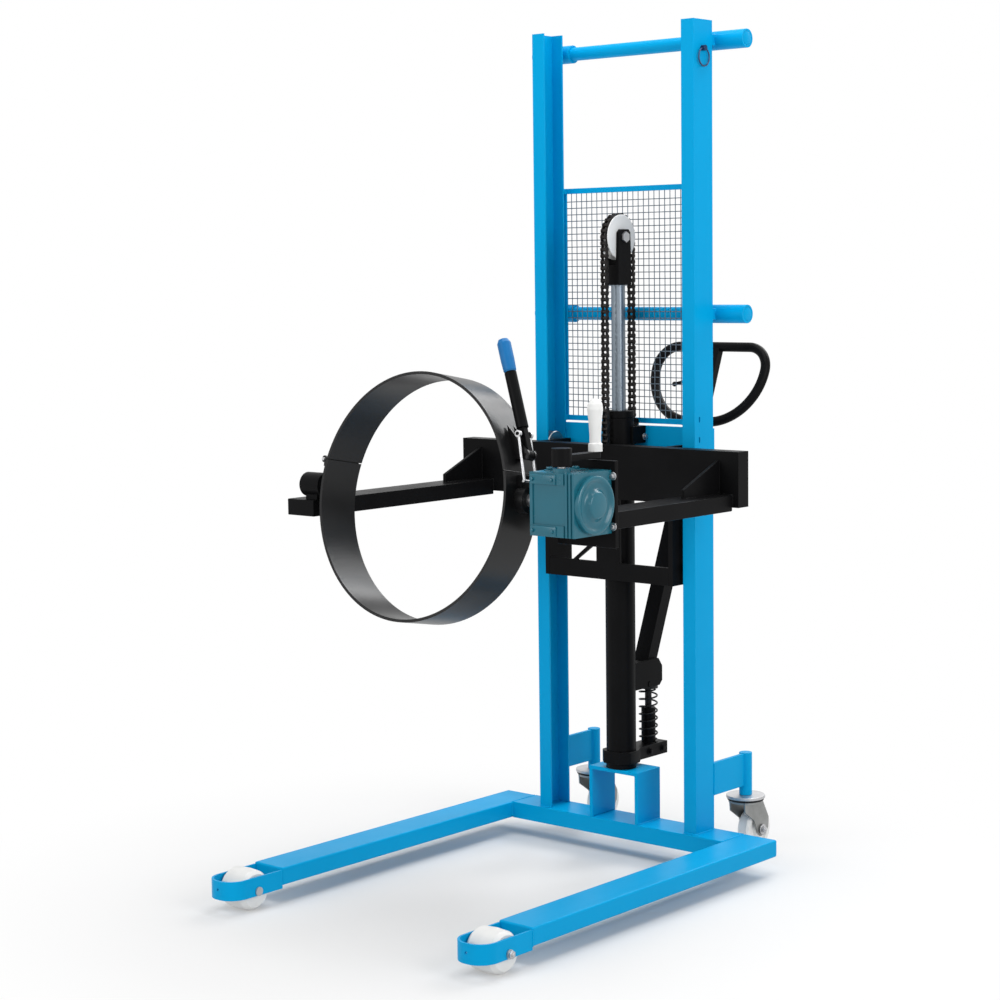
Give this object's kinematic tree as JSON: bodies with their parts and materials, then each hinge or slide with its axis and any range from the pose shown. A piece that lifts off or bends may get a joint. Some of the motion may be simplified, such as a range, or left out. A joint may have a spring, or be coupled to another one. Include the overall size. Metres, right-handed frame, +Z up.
{
  "type": "drum lifter",
  "caption": "Hand-pumped drum lifter: wheeled straddle base, channel mast with mesh guard, chain-lifted carriage and a split hoop that tilts a drum through a worm gearbox.",
  "frame": {"origin": "on the floor, midway between the mast posts in width and depth", "axes": "+Z up, -Y forward along the legs, +X to the gearbox side"},
  "size_m": [0.968, 1.5113, 2.147],
  "materials": {
    "paint_blue": "glossy powder coat",
    "black_coat": "satin black paint",
    "white_nylon": "cast nylon, matt",
    "zinc": "zinc plated steel",
    "chrome_rod": "ground hard chrome",
    "teal_casting": "painted grey iron",
    "black_rubber": "matt",
    "blue_grip": "dipped vinyl",
    "bronze": "machined bronze",
    "mesh_wire": "galvanised wire",
    "chain_steel": "oiled steel"
  },
  "bodies": {
    "frame": {"base_crossbar": "paint_blue", "base_legs": "paint_blue", "roller_straps": "paint_blue", "roller_axles": "zinc", "mast_posts": "paint_blue", "tie_bars": "paint_blue", "bar_sleeves": "paint_blue", "lock_pin": "zinc", "back_plate": "paint_blue", "guard_frame": "paint_blue", "guard_mesh": "mesh_wire", "outriggers": "paint_blue", "caster_plates": "zinc", "dust_rings": "black_rubber", "pump_bridge": "paint_blue", "pump_block": "black_coat", "lift_cylinder": "black_coat", "cylinder_gland": "black_coat", "chain_anchor": "black_coat", "handle_bracket": "black_coat", "chain_rear": "chain_steel", "pump_spring": "black_coat"},
    "lock_ring": {"lock_ring": "zinc"},
    "left_caster": {"left_caster_fork": "zinc"},
    "right_caster": {"right_caster_fork": "zinc"},
    "left_wheel": {"left_caster_wheel": "white_nylon"},
    "right_wheel": {"right_caster_wheel": "white_nylon"},
    "left_roller": {"left_front_roller": "white_nylon"},
    "right_roller": {"right_front_roller": "white_nylon"},
    "lift": {"piston_rod": "chrome_rod", "sheave_fork": "black_coat", "sheave_axle": "zinc", "chain_front": "chain_steel", "chain_wrap": "chain_steel"},
    "sheave": {"chain_sheave": "white_nylon"},
    "carriage": {"carriage_beam": "black_coat", "side_plates": "black_coat", "lower_bar": "black_coat", "left_arm": "black_coat", "right_arm": "black_coat", "gearbox_plate": "black_coat", "gearbox_housing": "teal_casting", "gearbox_cover": "teal_casting"},
    "upper_rollers": {"upper_rollers": "zinc"},
    "lower_rollers": {"lower_rollers": "zinc"},
    "hoop": {"hoop_lower": "black_coat", "hoop_trunnions": "zinc", "worm_wheel": "bronze", "hinge_pin": "zinc"},
    "hoop_lid": {"hoop_upper": "black_coat"},
    "latch": {"latch_lever": "black_coat", "lever_grip": "blue_grip"},
    "bail": {"latch_bail": "zinc"},
    "crank": {"worm_shaft": "zinc", "crank_arm": "black_coat"},
    "grip": {"crank_grip": "white_nylon"},
    "handle": {"handle_tube": "black_coat", "handle_loop": "black_coat"},
    "release": {"control_lever": "black_coat"},
    "plunger": {"pump_plunger": "zinc"}
  },
  "joints": [
    {"name": "lift", "type": "slide", "parent": "frame", "child": "lift", "axis": [0, 0, 1], "range_m": [-0.31, 0.4], "deforming": ["chain_rear"]},
    {"name": "carriage", "type": "slide", "parent": "lift", "child": "carriage", "axis": [0, 0, 1], "range_m": [-0.31, 0.4], "deforming": ["chain_front"]},
    {"name": "sheave", "type": "hinge", "parent": "lift", "child": "sheave", "pos_m": [0, -0.015, 1.615], "axis": [1, 0, 0], "range_deg": [-415, 322]},
    {"name": "upper_rollers", "type": "hinge", "parent": "carriage", "child": "upper_rollers", "pos_m": [0, 0, 1.072], "axis": [1, 0, 0], "range_deg": [-1035, 1335]},
    {"name": "lower_rollers", "type": "hinge", "parent": "carriage", "child": "lower_rollers", "pos_m": [0, 0, 0.769], "axis": [1, 0, 0], "range_deg": [-1335, 1035]},
    {"name": "hoop_tilt", "type": "hinge", "parent": "carriage", "child": "hoop", "pos_m": [0, -0.755, 1.016], "axis": [1, 0, 0], "continuous": true},
    {"name": "crank", "type": "hinge", "parent": "carriage", "child": "crank", "pos_m": [0.447, -0.8, 1.016], "axis": [0, 0, 1], "continuous": true},
    {"name": "crank_grip", "type": "hinge", "parent": "crank", "child": "grip", "pos_m": [0.447, -0.68, 1.13], "axis": [0, 0, 1], "continuous": true},
    {"name": "hoop_lid", "type": "hinge", "parent": "hoop", "child": "hoop_lid", "pos_m": [-0.29327, -0.74441, 1.07607], "axis": [0, -0.9848, 0.1736], "range_deg": [0, 75]},
    {"name": "latch", "type": "hinge", "parent": "hoop_lid", "child": "latch", "pos_m": [0.3, -0.73729, 1.11645], "axis": [0, 0.9848, -0.1736], "range_deg": [0, 65]},
    {"name": "bail", "type": "hinge", "parent": "latch", "child": "bail", "pos_m": [0.28046, -0.7293, 1.16178], "axis": [0, -0.9848, 0.1736], "range_deg": [0, 60]},
    {"name": "pump_handle", "type": "hinge", "parent": "frame", "child": "handle", "pos_m": [0, 0.068, 0.44], "axis": [-1, 0, 0], "range_deg": [0, 50], "stiffness_Nm_per_rad": 30, "springref_deg": -37.24},
    {"name": "plunger", "type": "slide", "parent": "frame", "child": "plunger", "axis": [0, 0, 1], "range_m": [-0.0355, 0], "deforming": ["pump_spring"]},
    {"name": "release_lever", "type": "hinge", "parent": "handle", "child": "release", "pos_m": [-0.01, 0.36584, 1.2384], "axis": [0, 0.9304, -0.3665], "range_deg": [-12, 12], "stiffness_Nm_per_rad": 1.5},
    {"name": "left_swivel", "type": "hinge", "parent": "frame", "child": "left_caster", "pos_m": [-0.254, 0.19, 0.136], "axis": [0, 0, 1], "continuous": true},
    {"name": "right_swivel", "type": "hinge", "parent": "frame", "child": "right_caster", "pos_m": [0.254, 0.19, 0.136], "axis": [0, 0, 1], "continuous": true},
    {"name": "left_wheel", "type": "hinge", "parent": "left_caster", "child": "left_wheel", "pos_m": [-0.254, 0.228, 0.055], "axis": [1, 0, 0], "continuous": true},
    {"name": "right_wheel", "type": "hinge", "parent": "right_caster", "child": "right_wheel", "pos_m": [0.254, 0.228, 0.055], "axis": [1, 0, 0], "continuous": true},
    {"name": "left_roller", "type": "hinge", "parent": "frame", "child": "left_roller", "pos_m": [-0.398, -0.998, 0.05], "axis": [1, 0, 0], "continuous": true},
    {"name": "right_roller", "type": "hinge", "parent": "frame", "child": "right_roller", "pos_m": [0.398, -0.998, 0.05], "axis": [1, 0, 0], "continuous": true},
    {"name": "lock_ring", "type": "hinge", "parent": "frame", "child": "lock_ring", "pos_m": [0.2655, -0.004, 2.076], "axis": [0, -1, 0], "range_deg": [-4, 80]}
  ],
  "couplings": [
    {"joint": "carriage", "follows": "lift", "ratio": 1},
    {"joint": "sheave", "follows": "lift", "rad_per_m": -17.929},
    {"joint": "upper_rollers", "follows": "lift", "rad_per_m": 57.971},
    {"joint": "lower_rollers", "follows": "lift", "rad_per_m": -57.971},
    {"joint": "crank", "follows": "hoop_tilt", "ratio": 30},
    {"joint": "bail", "follows": "latch", "ratio": 0.8},
    {"joint": "plunger", "follows": "pump_handle", "m_per_rad": -0.04}
  ]
}
